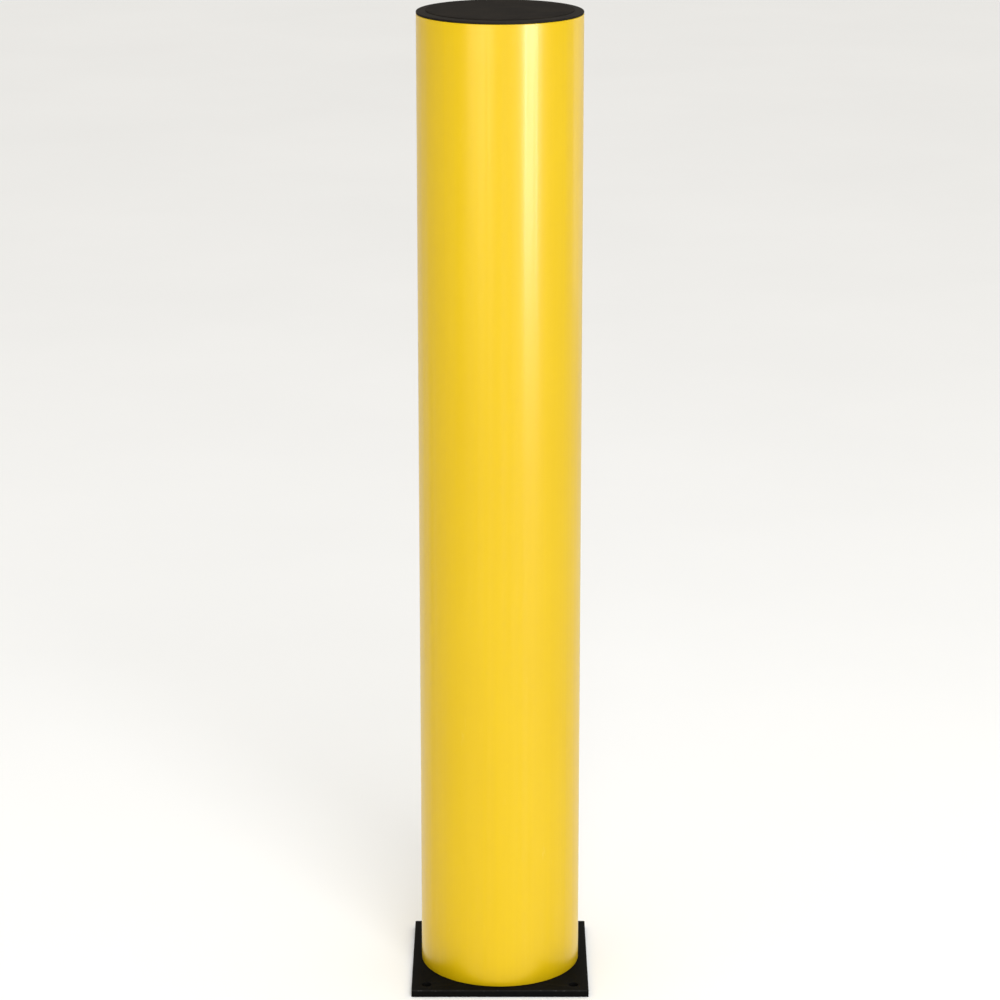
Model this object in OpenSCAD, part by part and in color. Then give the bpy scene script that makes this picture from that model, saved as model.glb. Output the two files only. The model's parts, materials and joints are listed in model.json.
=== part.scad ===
// Spring-back impact post for marking and guarding a corner indoors or on a yard.
// A plastic tube stands on a square steel plate. A sprung tie rod inside pulls the
// tube down, so that a knocked post rocks over on its heel and stands up again.
// Millimetres, +Z up, origin at the middle of the plate's underside. At rest the
// heel that the post rocks on lies towards +Y.

/* [Post] */
// Height of the whole post, from the floor to the top of the cap
post_h = 1100; // [800:10:1400]
// Outer diameter of the tube
tube_d = 180; // [178:1:230]
// Wall of the tube
tube_wall = 10; // [8:0.5:12]
// Depth of the counterbore at the tube's top, which leaves the ledge for the spring cup
counterbore_depth = 20; // [16:1:30]
// Width of that ledge
ledge_w = 4; // [3:0.5:5]

/* [Base plate] */
// How far the plate stands past the tube on each side
plate_margin = 10; // [6:1:40]
// Thickness of the plate
plate_t = 8; // [6.5:0.5:15]
// Diameter of the four floor anchor holes
anchor_d = 11; // [9:0.5:14]
// Distance of an anchor hole's centre from the plate's edges
anchor_edge = 17; // [14:0.5:21]
// Bevel on the plate's upright corners
plate_corner = 1; // [0.5:0.5:3]

/* [Foot] */
// Height of the spigot that centres the tube
spigot_h = 45; // [38:1:55]
// Thickness of the spigot's screw flange
spigot_flange_t = 8; // [7:0.5:12]
// Wall of the spigot's outer shell
spigot_wall = 6; // [4:0.5:8]
// Roof of the swivel housing, over the clevis flange
housing_roof_t = 8; // [6:0.5:12]

/* [Swivel and rod] */
// Diameter of the clevis's round neck
neck_d = 44; // [38:1:52]
// Thickness of the clevis's flange
flange_t = 6; // [5:0.5:10]
// Diameter of the hinge pin
pin_d = 14; // [11.5:0.1:17]
// Thickness of each clevis ear
ear_t = 12; // [9:0.5:14]
// Width of the rod eye
eye_w = 19.4; // [17:0.2:23]
// Diameter of the tie rod
rod_d = 16; // [13:0.1:19.5]
// Angle at which the stop sleeve ends the post's tilt
tilt_max = 12; // [8:0.5:13]

/* [Spring] */
// Diameter of the spring's wire
wire_d = 12; // [9:0.1:14.5]
// Mean diameter of the spring's coils
coil_d = 60; // [56:1:84]
// Length of the spring as fitted
spring_l = 150; // [125:1:180]
// Turns of the spring, with the closed turn at each end
turns = 8.3; // [6:0.1:8.5]

/* [Cap] */
// Height of the cap's flat disc above the tube's end
cap_rise = 4; // [4:0.5:6]
// Width of the sloping rim around the disc
cap_rim_w = 10; // [7:0.5:14]

/* [Fits] */
// Radial play of a pin or a shaft that turns
running_gap = 0.05; // [0.02:0.01:0.1]
// Play between pieces that are screwed or pushed together
fit_gap = 0.1; // [0.05:0.01:0.15]
// Gap between faces that move past each other
free_gap = 0.3; // [0.2:0.05:0.5]
// Radial play of the rod in its guide bush, which takes up the swing of the rod
guide_gap = 1.2; // [1:0.1:1.6]

/* [Hidden] */
$fn = 96;

yellow = [0.94, 0.76, 0.10];
black = [0.05, 0.05, 0.055];
nylon = [0.16, 0.16, 0.17];
acetal = [0.88, 0.87, 0.82];
zinc = [0.72, 0.73, 0.75];
bronze = [0.72, 0.53, 0.28];
dark_steel = [0.20, 0.21, 0.22];

// How far a cutting shape runs past the face that it cuts
cut = 1;
// How deep a shape sinks into the one that it joins
joined = 0.5;
// Small bevels on machined edges, and on the tube's ends
bevel = 1;
tube_bevel = 0.6;

// Metric screws: shank, head across and socket across its flats
m6 = 6;
m6_head_d = 12;
m6_socket = 4;
m8 = 8;
m8_head_d = 13;
m8_socket = 6;
// Left between a screw's tip and the floor
tip_gap = 1;

// Radii of the tube and its counterbore
tube_r = tube_d / 2;
bore_r = tube_r - tube_wall;
counterbore_r = bore_r + ledge_w;

// The plate
plate_w = tube_d + 2 * plate_margin;
anchor_at = plate_w / 2 - anchor_edge;
anchor_bevel = 0.6;

// Levels, from the floor up
plate_top = plate_t;
tube_bottom = plate_top + free_gap;
tube_top = post_h - cap_rise;
ledge_z = tube_top - counterbore_depth;

// Swivel: the clevis's flange is held under the housing's roof, on a thrust washer
flange_lip = 9;
flange_lift = 1;
flange_r = neck_d / 2 + flange_lip;
flange_z = plate_top + flange_lift;
washer_t = 3;
thrust_z = flange_z + flange_t + fit_gap;
roof_z = thrust_z + washer_t;
housing_top = roof_z + housing_roof_t;
pocket_r = flange_r + 0.5;
screw_n = 6;
housing_screw_in = 10.5;
housing_screw_out = 10;
housing_screw_at = pocket_r + housing_screw_in;
housing_r = housing_screw_at + housing_screw_out;

// Spigot. The far edge of the tube's bore swings about the heel on an arc, and the
// spigot's half width at each height above the plate keeps inside that arc.
function spigot_r(h) = sqrt(pow(tube_r + bore_r, 2) - h * h) - tube_r - 2 * free_gap;
spigot_in_r = housing_r + 4;
shell_in_r = spigot_r(spigot_flange_t) - spigot_wall;
spigot_screw_at = (spigot_in_r + shell_in_r) / 2;
spigot_screw_turn = 30;
m6_sunk_h = (m6_head_d - m6) / 2;
gusset_n = 12;
gusset_t = 4;

// Clevis above the housing, and the eye between its ears
clevis_lift = 1;
clevis_z = housing_top + clevis_lift;
clevis_floor_t = 7;
clevis_floor_z = clevis_z + clevis_floor_t;
eye_wall = 8;
bush_wall = 2;
eye_r = pin_d / 2 + bush_wall + eye_wall;
eye_room = 2;
pin_z = clevis_floor_z + eye_room + eye_r;
ear_r = eye_r - 1;
ear_foot_w = ear_r + 3;
ear_gap = eye_w + 2 * free_gap;
ears_w = ear_gap + 2 * ear_t;
clevis_disc_r = ears_w / 2 + 5;

// Hinge pin and its clips
clip_t = 1.2;
clip_wall = 3;
clip_mouth_deg = 70;
groove_depth = 0.5;
groove_r = pin_d / 2 - groove_depth;
pin_end = 2;
pin_l = ears_w + 2 * (2 * fit_gap + clip_t + pin_end);

// Rod eye: a flat shank between the ears, then a round boss that takes the rod's thread
boss_wall = 6;
boss_r = rod_d / 2 + boss_wall;
boss_lift = 4;
boss_z = pin_z + eye_r + boss_lift;
thread_floor = 6;
thread_l = 38;
thread_r = rod_d / 2 + running_gap;
rod_z = boss_z + thread_floor;
boss_top = rod_z + thread_l;

// Nuts on the rod, in the usual proportions of a metric thread
nut_af = 1.5 * rod_d;
nut_t = 0.8 * rod_d;
thin_nut_t = 0.5 * rod_d;
nut_corner_r = nut_af / sqrt(3);

// Spring cup: hangs from the ledge, deep enough for all that is stacked on the rod
cup_flange_t = 4;
cup_floor_t = 6;
cup_wall = 3;
cup_bend = 2;
cup_fillet = 4;
coil_room = 8;
coil_out_r = (coil_d + wire_d) / 2;
coil_in_r = (coil_d - wire_d) / 2;
cup_in_r = coil_out_r + coil_room;
cup_out_r = cup_in_r + cup_wall;
lower_seat_t = 5;
lower_seat_lip = 4;
upper_seat_t = 8;
upper_seat_lip = 2;
seat_boss_h = 6;
seat_boss_r = coil_in_r - 0.5;
tension_washer_t = 3;
rod_end = 6;
cup_room = 3;
stack_h = lower_seat_t + spring_l + upper_seat_t + tension_washer_t + nut_t + thin_nut_t + rod_end;
cup_floor_z = ledge_z - cup_room - stack_h;
cup_bottom = cup_floor_z - cup_floor_t;
cup_flange_top = ledge_z + cup_flange_t;
spring_z = cup_floor_z + lower_seat_t;
upper_seat_z = spring_z + spring_l;
tension_washer_z = upper_seat_z + upper_seat_t;
tension_nut_z = tension_washer_z + tension_washer_t;
lock_nut_z = tension_nut_z + nut_t;
rod_top = lock_nut_z + thin_nut_t + rod_end;

// Guide bush in the cup's floor
guide_r = rod_d / 2 + guide_gap;
guide_out_r = guide_r + 5;
guide_flange_r = guide_out_r + 4;
guide_flange_t = 2.5;
guide_z = cup_bottom - 4;
guide_top = cup_floor_z + guide_flange_t;

// Stop sleeve: as the post tilts, the cup climbs the rod, and the sleeve on its floor
// meets the upper seat. The travel follows from how the guide swings about the heel.
function guide_swing(a, h) = [h * sin(a) + tube_r * (1 - cos(a)), h * cos(a) + tube_r * sin(a)];
guide_h = (guide_z + guide_top) / 2 - tube_bottom;
pin_h = pin_z - tube_bottom;
guide_travel = norm(guide_swing(tilt_max, guide_h) - [0, pin_h]) - (guide_h - pin_h);
sleeve_in_r = rod_d / 2 + 3;
sleeve_out_r = sleeve_in_r + 5;
sleeve_z = spring_z + seat_boss_h;
sleeve_top = upper_seat_z - seat_boss_h - guide_travel - free_gap;

// Spring wire: one closed turn at each end, even pitch between. The tips start low,
// because the spring's ends are ground flat.
tip_lift = 0.25 * wire_d;
closed_rise = 1.04 * wire_d;
even_z = tip_lift + closed_rise;
even_pitch = (spring_l - 2 * even_z) / (turns - 2);
function wire_z(t) = t < 1 ? tip_lift + closed_rise * t
    : t > turns - 1 ? spring_l - tip_lift - closed_rise * (turns - t)
    : even_z + (t - 1) * even_pitch;

// Cap. Its rim hangs over the tube's end with a shadow groove under its edge.
rim_t = 2;
rim_round = 0.8;
rim_slope = 0.7;
shadow_h = 0.5;
shadow_w = 2.5;
disc_t = 3;
disc_r = tube_r - cap_rim_w;
disc_bevel = 0.4;
skirt_wall = 3;
skirt_r = counterbore_r - 0.4;
skirt_z = cup_flange_top + free_gap - tube_top;
skirt_taper = 0.8;
crush_rib_n = 24;
crush_rib_r = 0.95;
cap_rib_n = 4;
cap_rib_t = 2.5;
cap_rib_h = 8;
cap_boss_r = 12;
cap_boss_h = 10;
cap_boss_wall = 3;

// Copies of a shape around the Z axis
module ring(count, radius, start = 0) {
    for (i = [0 : count - 1])
        rotate(start + i * 360 / count)
            translate([radius, 0, 0])
                children();
}

// A round hole or pocket that runs on past both of its ends
module drill(radius, z, height) {
    translate([0, 0, z - cut])
        cylinder(r = radius, h = height + 2 * cut);
}

// A flat ring
module washer(z, height, outer_r, inner_r) {
    difference() {
        translate([0, 0, z])
            cylinder(r = outer_r, h = height);
        drill(inner_r, z, height);
    }
}

// A hexagon nut on the rod, its corners turned off at both faces
module hex_nut(z, height) {
    turned_r = nut_af / 2 - 0.3;
    turned_h = (nut_corner_r - nut_af / 2) / 2;
    difference() {
        translate([0, 0, z])
            intersection() {
                cylinder(r = nut_corner_r, h = height, $fn = 6);
                rotate_extrude()
                    polygon([[0, 0], [turned_r, 0], [nut_corner_r, turned_h],
                        [nut_corner_r, height - turned_h], [turned_r, height], [0, height]]);
            }
        drill(thread_r, z, height);
    }
}

// A hexagon socket, given the size across its flats
module socket(across, depth) {
    cylinder(d = across / cos(30), h = depth, $fn = 6);
}

// A socket cap screw that stands on its tip, with its head up
module cap_screw(shank_d, head_d, across, length) {
    cylinder(d = shank_d, h = length + joined);
    translate([0, 0, length])
        difference() {
            cylinder(d = head_d, h = shank_d);
            translate([0, 0, shank_d / 2])
                socket(across, shank_d);
        }
}

// A countersunk screw that stands on its tip, its head flush with its length
module sunk_screw(shank_d, head_d, across, length) {
    head_h = (head_d - shank_d) / 2;
    difference() {
        union() {
            cylinder(d = shank_d, h = length - head_h + joined);
            translate([0, 0, length - head_h])
                cylinder(d1 = shank_d, d2 = head_d, h = head_h);
        }
        translate([0, 0, length - head_h])
            socket(across, shank_d);
    }
}

module plate_outline() {
    half = plate_w / 2;
    in = half - plate_corner;
    polygon([[half, in], [in, half], [-in, half], [-half, in],
        [-half, -in], [-in, -half], [in, -half], [half, -in]]);
}

module base_plate() {
    color(black)
        difference() {
            linear_extrude(plate_t)
                plate_outline();
            for (x = [-anchor_at, anchor_at], y = [-anchor_at, anchor_at])
                translate([x, y, 0]) {
                    drill(anchor_d / 2, 0, plate_t);
                    translate([0, 0, plate_t - anchor_bevel])
                        cylinder(d1 = anchor_d, d2 = anchor_d + 4 * anchor_bevel, h = 2 * anchor_bevel);
                }
            ring(screw_n, housing_screw_at)
                drill(m8 / 2 + running_gap, 0, plate_t);
            ring(screw_n, spigot_screw_at, spigot_screw_turn)
                drill(m6 / 2 + running_gap, 0, plate_t);
        }
}

// The spigot is a ring with pockets between its gussets, over a flat screw flange
module locating_spigot() {
    steps = 9;
    heights = [for (i = [0 : steps]) i * spigot_h / steps];
    outside = [for (h = heights) [spigot_r(h), h]];
    inside = [for (h = heights) if (h > spigot_flange_t) [spigot_r(h) - spigot_wall, h]];
    pocket_deg = 360 / gusset_n - gusset_t / spigot_in_r * 180 / PI;
    pocket = concat([[spigot_in_r - cut, spigot_flange_t], [shell_in_r, spigot_flange_t]], inside,
        [[spigot_r(spigot_h) - spigot_wall, spigot_h + cut], [spigot_in_r - cut, spigot_h + cut]]);
    color(nylon)
        translate([0, 0, plate_top])
            difference() {
                rotate_extrude()
                    polygon(concat([[spigot_in_r, 0]], outside, [[spigot_in_r, spigot_h]]));
                for (i = [0 : gusset_n - 1])
                    rotate(spigot_screw_turn - pocket_deg / 2 + i * 360 / gusset_n)
                        rotate_extrude(angle = pocket_deg)
                            polygon(pocket);
                ring(screw_n, spigot_screw_at, spigot_screw_turn) {
                    drill(m6 / 2 + fit_gap, 0, spigot_flange_t);
                    translate([0, 0, spigot_flange_t - m6_sunk_h - fit_gap])
                        cylinder(d1 = m6 + 2 * fit_gap, d2 = m6_head_d + 4 * fit_gap,
                            h = m6_sunk_h + 2 * fit_gap);
                }
            }
}

module spigot_screws() {
    color(zinc)
        ring(screw_n, spigot_screw_at, spigot_screw_turn)
            translate([0, 0, tip_gap])
                sunk_screw(m6, m6_head_d, m6_socket, plate_t + spigot_flange_t - tip_gap);
}

module swivel_housing() {
    neck_bore = neck_d / 2 + running_gap;
    color(dark_steel)
        difference() {
            rotate_extrude()
                polygon([[pocket_r, plate_top], [housing_r, plate_top], [housing_r, housing_top - bevel],
                    [housing_r - bevel, housing_top], [neck_bore, housing_top],
                    [neck_bore, roof_z], [pocket_r, roof_z]]);
            ring(screw_n, housing_screw_at)
                drill(m8 / 2 + fit_gap, plate_top, housing_top - plate_top);
        }
}

module housing_screws() {
    color(zinc)
        ring(screw_n, housing_screw_at)
            translate([0, 0, tip_gap])
                cap_screw(m8, m8_head_d, m8_socket, housing_top - tip_gap);
}

module thrust_washer() {
    color(bronze)
        washer(thrust_z, washer_t - fit_gap, flange_r, neck_d / 2 + free_gap);
}

// One ear of the clevis, seen along the pin: a round end on a foot with straight sides
module ear_outline() {
    reach = pin_z - clevis_floor_z + joined;
    touch_deg = acos(ear_r / norm([ear_foot_w, reach])) - atan2(reach, ear_foot_w);
    touch = ear_r * [cos(touch_deg), sin(touch_deg)];
    translate([0, pin_z]) {
        circle(r = ear_r);
        polygon([[-ear_foot_w, -reach], [ear_foot_w, -reach], touch, [-touch[0], touch[1]]]);
    }
}

module swivel_clevis() {
    color(dark_steel)
        difference() {
            union() {
                translate([0, 0, flange_z])
                    cylinder(r = flange_r, h = flange_t);
                translate([0, 0, flange_z + flange_t - joined])
                    cylinder(d = neck_d, h = clevis_z - flange_z - flange_t + 2 * joined);
                translate([0, 0, clevis_z])
                    cylinder(r = clevis_disc_r, h = clevis_floor_t);
                for (x = [-ears_w / 2, ear_gap / 2])
                    translate([x, 0, 0])
                        rotate([90, 0, 90])
                            linear_extrude(ear_t)
                                ear_outline();
            }
            translate([0, 0, pin_z])
                rotate([0, 90, 0])
                    drill(pin_d / 2 + running_gap, -ears_w / 2, ears_w);
        }
}

module clevis_pin() {
    end = pin_l / 2;
    near = ears_w / 2 + fit_gap / 2;
    far = near + clip_t + fit_gap;
    half = [[pin_d / 2, near], [groove_r, near], [groove_r, far], [pin_d / 2, far],
        [pin_d / 2, end - bevel], [pin_d / 2 - bevel, end], [0, end]];
    other_half = [for (i = [len(half) - 1 : -1 : 0]) [half[i][0], -half[i][1]]];
    color(zinc)
        translate([0, 0, pin_z])
            rotate([0, 90, 0])
                rotate_extrude()
                    polygon(concat(half, other_half));
}

// A clip is an open ring in the pin's groove
module pin_clips() {
    color(dark_steel)
        for (x = [-1, 1] * (ears_w / 2 + fit_gap + clip_t / 2))
            translate([x, 0, pin_z])
                rotate([0, 90, 0])
                    rotate(clip_mouth_deg / 2)
                        rotate_extrude(angle = 360 - clip_mouth_deg)
                            translate([groove_r + running_gap, -clip_t / 2])
                                square([clip_wall, clip_t]);
}

module rod_eye() {
    shank_w = 2 * (boss_r - 1);
    boss_h = boss_top - boss_z;
    color(dark_steel)
        difference() {
            union() {
                translate([-eye_w / 2, 0, pin_z])
                    rotate([0, 90, 0])
                        cylinder(r = eye_r, h = eye_w);
                translate([-eye_w / 2, -shank_w / 2, pin_z])
                    cube([eye_w, shank_w, boss_z - pin_z + joined]);
                translate([0, 0, boss_z])
                    rotate_extrude()
                        polygon([[0, 0], [boss_r, 0], [boss_r, boss_h - bevel], [boss_r - bevel, boss_h],
                            [0, boss_h]]);
            }
            translate([0, 0, pin_z])
                rotate([0, 90, 0])
                    drill(pin_d / 2 + bush_wall + running_gap, -eye_w / 2, eye_w);
            translate([0, 0, rod_z - fit_gap])
                cylinder(r = thread_r, h = thread_l + cut);
        }
}

module eye_bush() {
    color(bronze)
        translate([0, 0, pin_z])
            rotate([0, 90, 0])
                washer(-eye_w / 2, eye_w, pin_d / 2 + bush_wall, pin_d / 2 + running_gap);
}

module eye_lock_nut() {
    color(zinc)
        hex_nut(boss_top + fit_gap / 2, nut_t);
}

module tie_rod() {
    thread_bevel = 1.5;
    root_r = rod_d / 2 - thread_bevel;
    color(zinc)
        rotate_extrude()
            polygon([[0, rod_z], [root_r, rod_z], [rod_d / 2, rod_z + thread_bevel],
                [rod_d / 2, rod_top - thread_bevel], [root_r, rod_top], [0, rod_top]]);
}

module bollard_tube() {
    color(yellow)
        rotate_extrude()
            polygon([[bore_r, tube_bottom], [tube_r - tube_bevel, tube_bottom],
                [tube_r, tube_bottom + tube_bevel], [tube_r, tube_top - tube_bevel],
                [tube_r - tube_bevel, tube_top], [counterbore_r, tube_top],
                [counterbore_r, ledge_z], [bore_r, ledge_z]]);
}

// The cup: a flange on the tube's ledge, a straight wall and a floor with a hole for the guide bush
module spring_cup() {
    hole_r = guide_out_r + fit_gap;
    lip_r = counterbore_r - fit_gap;
    corner = [for (a = [-90 : 15 : 0])
        [cup_out_r - cup_fillet * (1 - cos(a)), cup_bottom + cup_fillet * (1 + sin(a))]];
    color(zinc)
        rotate_extrude()
            polygon(concat([[hole_r, cup_bottom]], corner,
                [[cup_out_r, ledge_z - cup_bend], [cup_out_r + cup_bend, ledge_z], [lip_r, ledge_z],
                [lip_r, cup_flange_top], [cup_in_r + cup_bend, cup_flange_top],
                [cup_in_r, cup_flange_top - cup_bend], [cup_in_r, cup_floor_z], [hole_r, cup_floor_z]]));
}

module rod_guide_bush() {
    color(acetal)
        rotate_extrude()
            polygon([[guide_r, guide_z], [guide_out_r - bevel, guide_z], [guide_out_r, guide_z + bevel],
                [guide_out_r, cup_floor_z], [guide_flange_r, cup_floor_z],
                [guide_flange_r, guide_top], [guide_r, guide_top]]);
}

module lower_spring_seat() {
    recess_r = guide_flange_r + fit_gap;
    recess_top = guide_top + fit_gap;
    out_r = coil_out_r + lower_seat_lip;
    color(acetal)
        rotate_extrude()
            polygon([[recess_r, cup_floor_z], [out_r, cup_floor_z], [out_r, spring_z],
                [seat_boss_r, spring_z], [seat_boss_r, sleeve_z - bevel], [seat_boss_r - bevel, sleeve_z],
                [guide_r, sleeve_z], [guide_r, recess_top], [recess_r, recess_top]]);
}

module stop_sleeve() {
    color(zinc)
        washer(sleeve_z, sleeve_top - sleeve_z, sleeve_out_r, sleeve_in_r);
}

// The spring's wire is swept round the helix, and kept between the flat ground ends
module compression_spring() {
    sides = 10;
    per_turn = 20;
    rings = ceil(turns * per_turn);
    points = [for (i = [0 : rings], k = [0 : sides - 1])
        let (t = i * turns / rings, a = k * 360 / sides, r = (coil_d + wire_d * cos(a)) / 2,
            z = wire_z(t) + wire_d * sin(a) / 2)
        [r * cos(360 * t), r * sin(360 * t), max(0, min(spring_l, z))]];
    skin = [for (i = [0 : rings - 1], k = [0 : sides - 1])
        let (a = i * sides + k, b = i * sides + (k + 1) % sides)
        each [[a, b, b + sides], [a, b + sides, a + sides]]];
    first = [for (k = [1 : sides - 2]) [0, k + 1, k]];
    last = [for (k = [1 : sides - 2]) [0, k, k + 1] + rings * sides * [1, 1, 1]];
    color(black)
        translate([0, 0, spring_z])
            polyhedron(points, concat(skin, first, last));
}

module upper_spring_seat() {
    hole_r = rod_d / 2 + 2 * fit_gap;
    boss_z = upper_seat_z - seat_boss_h;
    out_r = coil_out_r + upper_seat_lip;
    color(zinc)
        rotate_extrude()
            polygon([[hole_r, boss_z], [seat_boss_r - bevel, boss_z], [seat_boss_r, boss_z + bevel],
                [seat_boss_r, upper_seat_z], [out_r, upper_seat_z], [out_r, tension_washer_z - bevel],
                [out_r - bevel, tension_washer_z], [hole_r, tension_washer_z]]);
}

module tension_washer() {
    color(zinc)
        washer(tension_washer_z, tension_washer_t, nut_corner_r + 2, rod_d / 2 + 2 * fit_gap);
}

module tension_nut() {
    color(zinc)
        hex_nut(tension_nut_z, nut_t);
}

module lock_nut() {
    color(zinc)
        hex_nut(lock_nut_z, thin_nut_t);
}

// The cap's section: sloping rim, raised flat disc, and a skirt inside the counterbore
module cap_section() {
    rim_z = rim_t + shadow_h;
    brow_z = rim_z + rim_slope;
    groove_in = 0.3;
    corner = [for (a = [0 : 30 : 90])
        [tube_r - rim_round * (1 - cos(a)), rim_z - rim_round * (1 - sin(a))]];
    polygon(concat([[0, cap_rise - disc_t], [skirt_r - skirt_wall, cap_rise - disc_t],
        [skirt_r - skirt_wall, skirt_z], [skirt_r - skirt_taper, skirt_z],
        [skirt_r, skirt_z + 2 * skirt_taper], [skirt_r, 0], [tube_r - shadow_w, 0],
        [tube_r - shadow_w, shadow_h], [tube_r - groove_in, shadow_h], [tube_r, shadow_h + groove_in]],
        corner,
        [[disc_r + disc_bevel, brow_z], [disc_r, brow_z], [disc_r, cap_rise - disc_bevel],
        [disc_r - disc_bevel, cap_rise], [0, cap_rise]]));
}

module top_cap() {
    under = cap_rise - disc_t;
    crush_at = counterbore_r - running_gap - crush_rib_r;
    crush_z = skirt_z + 3 * skirt_taper;
    color(black)
        translate([0, 0, tube_top])
            difference() {
                union() {
                    rotate_extrude()
                        cap_section();
                    for (i = [0 : cap_rib_n - 1])
                        rotate(i * 180 / cap_rib_n)
                            translate([1 - skirt_r, -cap_rib_t / 2, under - cap_rib_h])
                                cube([2 * (skirt_r - 1), cap_rib_t, cap_rib_h + joined]);
                    translate([0, 0, under - cap_boss_h])
                        cylinder(r = cap_boss_r, h = cap_boss_h + joined);
                    ring(crush_rib_n, crush_at)
                        translate([0, 0, crush_z])
                            cylinder(r = crush_rib_r, h = joined - crush_z);
                }
                translate([0, 0, under - cap_boss_h - cut])
                    cylinder(r = cap_boss_r - cap_boss_wall, h = cap_boss_h + cut);
            }
}

base_plate();
locating_spigot();
spigot_screws();
swivel_housing();
housing_screws();
thrust_washer();
swivel_clevis();
clevis_pin();
pin_clips();
rod_eye();
eye_bush();
eye_lock_nut();
tie_rod();
bollard_tube();
spring_cup();
rod_guide_bush();
lower_spring_seat();
stop_sleeve();
compression_spring();
upper_spring_seat();
tension_washer();
tension_nut();
lock_nut();
top_cap();
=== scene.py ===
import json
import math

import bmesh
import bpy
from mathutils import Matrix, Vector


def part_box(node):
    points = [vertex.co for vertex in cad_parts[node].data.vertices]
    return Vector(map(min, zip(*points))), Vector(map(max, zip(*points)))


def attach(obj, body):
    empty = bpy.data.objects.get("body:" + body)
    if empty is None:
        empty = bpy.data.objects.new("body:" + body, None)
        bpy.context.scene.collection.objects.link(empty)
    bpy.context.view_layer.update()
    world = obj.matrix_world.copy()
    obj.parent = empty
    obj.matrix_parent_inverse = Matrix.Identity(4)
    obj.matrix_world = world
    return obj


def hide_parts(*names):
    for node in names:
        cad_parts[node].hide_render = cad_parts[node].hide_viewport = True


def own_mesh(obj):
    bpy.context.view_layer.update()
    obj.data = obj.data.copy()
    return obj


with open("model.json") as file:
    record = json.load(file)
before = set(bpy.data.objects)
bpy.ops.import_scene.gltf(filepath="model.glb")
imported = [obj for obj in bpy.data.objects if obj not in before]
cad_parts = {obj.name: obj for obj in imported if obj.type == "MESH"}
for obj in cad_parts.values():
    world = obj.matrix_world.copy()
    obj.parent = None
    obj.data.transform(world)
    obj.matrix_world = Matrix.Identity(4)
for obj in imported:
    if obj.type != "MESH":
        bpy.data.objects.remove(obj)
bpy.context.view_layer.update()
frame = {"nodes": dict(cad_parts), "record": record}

# %% [markdown]
# # A yellow post that stands up again after a knock
#
# The object is a floor-mounted impact post: a thick plastic tube, 180 mm across
# and 1.1 m high, on a black steel plate, with a black cap pushed into its top.
# A sprung rod inside pulls the tube down on the plate. The exact shapes come from
# a CAD model that is loaded above. Blender's job is to give each piece its finish,
# and to rebuild the pieces whose fine detail CAD leaves out.

parts = frame["nodes"]

# %% [markdown]
# ## Writing shader maths as plain expressions
#
# A shader is a graph of small nodes. Drawing the graph by hand hides the idea, so
# a small class wraps a node's output and gives it +, -, * and **. Each operation
# adds one Math node. The reflected forms let a number stand on the left, as in
# `1 - mask`.

# %% A socket that can be used in a sum
class Value:
    """One output of a shader node, with arithmetic that adds Math nodes."""

    def __init__(self, finish, socket):
        self.finish = finish
        self.socket = socket

    def math(self, operation, *others):
        """A Math node on this value and the others."""
        inputs = dict(enumerate((self, *others)))
        return self.finish.node("Math", {"operation": operation}, inputs)

    def __add__(self, other):
        return self.math("ADD", other)

    def __sub__(self, other):
        return self.math("SUBTRACT", other)

    def __mul__(self, other):
        return self.math("MULTIPLY", other)

    def __pow__(self, other):
        return self.math("POWER", other)

    def __radd__(self, other):
        return self + other

    def __rmul__(self, other):
        return self * other

    def __rsub__(self, other):
        return self.finish.node("Math", {"operation": "SUBTRACT"}, {0: other, 1: self})

    def above(self, level, width):
        """0 below the level, 1 above it, with a soft step of that width."""
        step = {"interpolation_type": "SMOOTHSTEP"}
        limits = {"From Min": level - width / 2, "From Max": level + width / 2}
        return self.finish.node("MapRange", step, {"Value": self} | limits)


# %% [markdown]
# ## One finish, one material
#
# Every finish below starts the same way: a Principled shader, the piece's own
# coordinates in metres, and a few calls that add detail. The coordinates belong
# to the piece and not to the camera, so a scratch stays where it is when the post
# tilts. Values that are the same all over go straight on the shader's sockets.

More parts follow.
